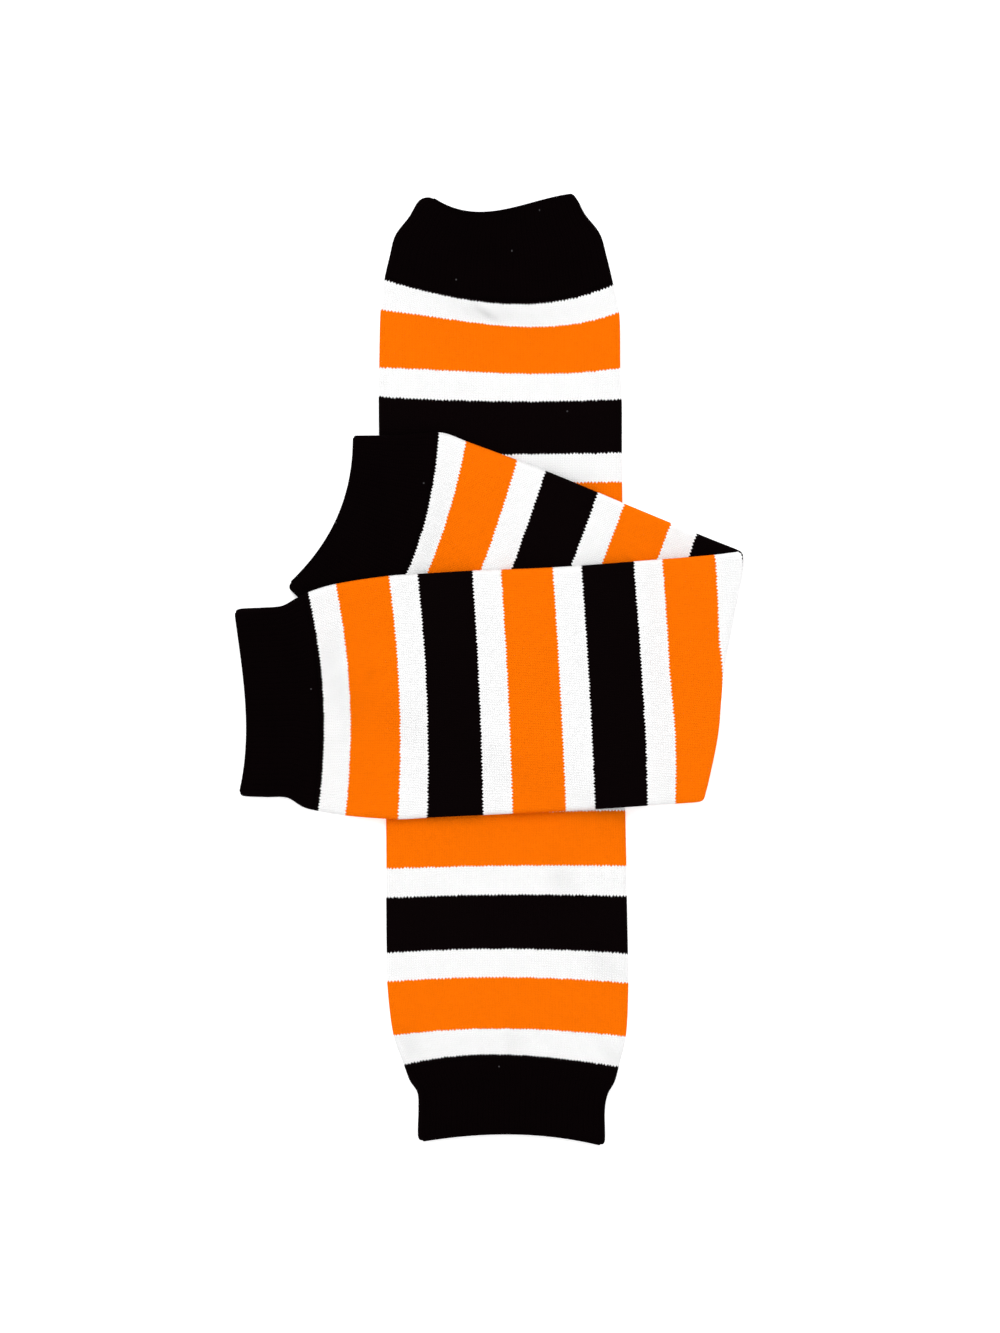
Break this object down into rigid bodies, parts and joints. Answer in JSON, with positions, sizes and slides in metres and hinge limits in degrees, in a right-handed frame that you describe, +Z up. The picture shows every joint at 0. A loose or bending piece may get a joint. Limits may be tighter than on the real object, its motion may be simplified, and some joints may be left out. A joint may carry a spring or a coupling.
{
  "type": "pair of leg warmers",
  "caption": "Child's knitted leg warmers in orange, white and black stripes with black ribbed cuffs, one lying straight and one folded and laid across it.",
  "frame": {"origin": "on the surface that the pair lies on, under the middle of its outline", "axes": "+Z up from the surface, +Y along the straight leg warmer towards its upper cuff (0.8 degrees off), +X to the right, towards the folded edge of the other"},
  "size_m": [0.1653, 0.3087, 0.0099],
  "materials": {
    "striped_knit": "soft fine jersey knit in orange, black and white bands, matte",
    "black_rib": "fine black rib knit, matte"
  },
  "bodies": {
    "root": {"straight_leg": "striped_knit", "straight_upper_cuff": "black_rib", "straight_lower_cuff": "black_rib", "folded_leg": "striped_knit", "folded_front_cuff": "black_rib", "folded_back_cuff": "black_rib"}
  },
  "joints": []
}
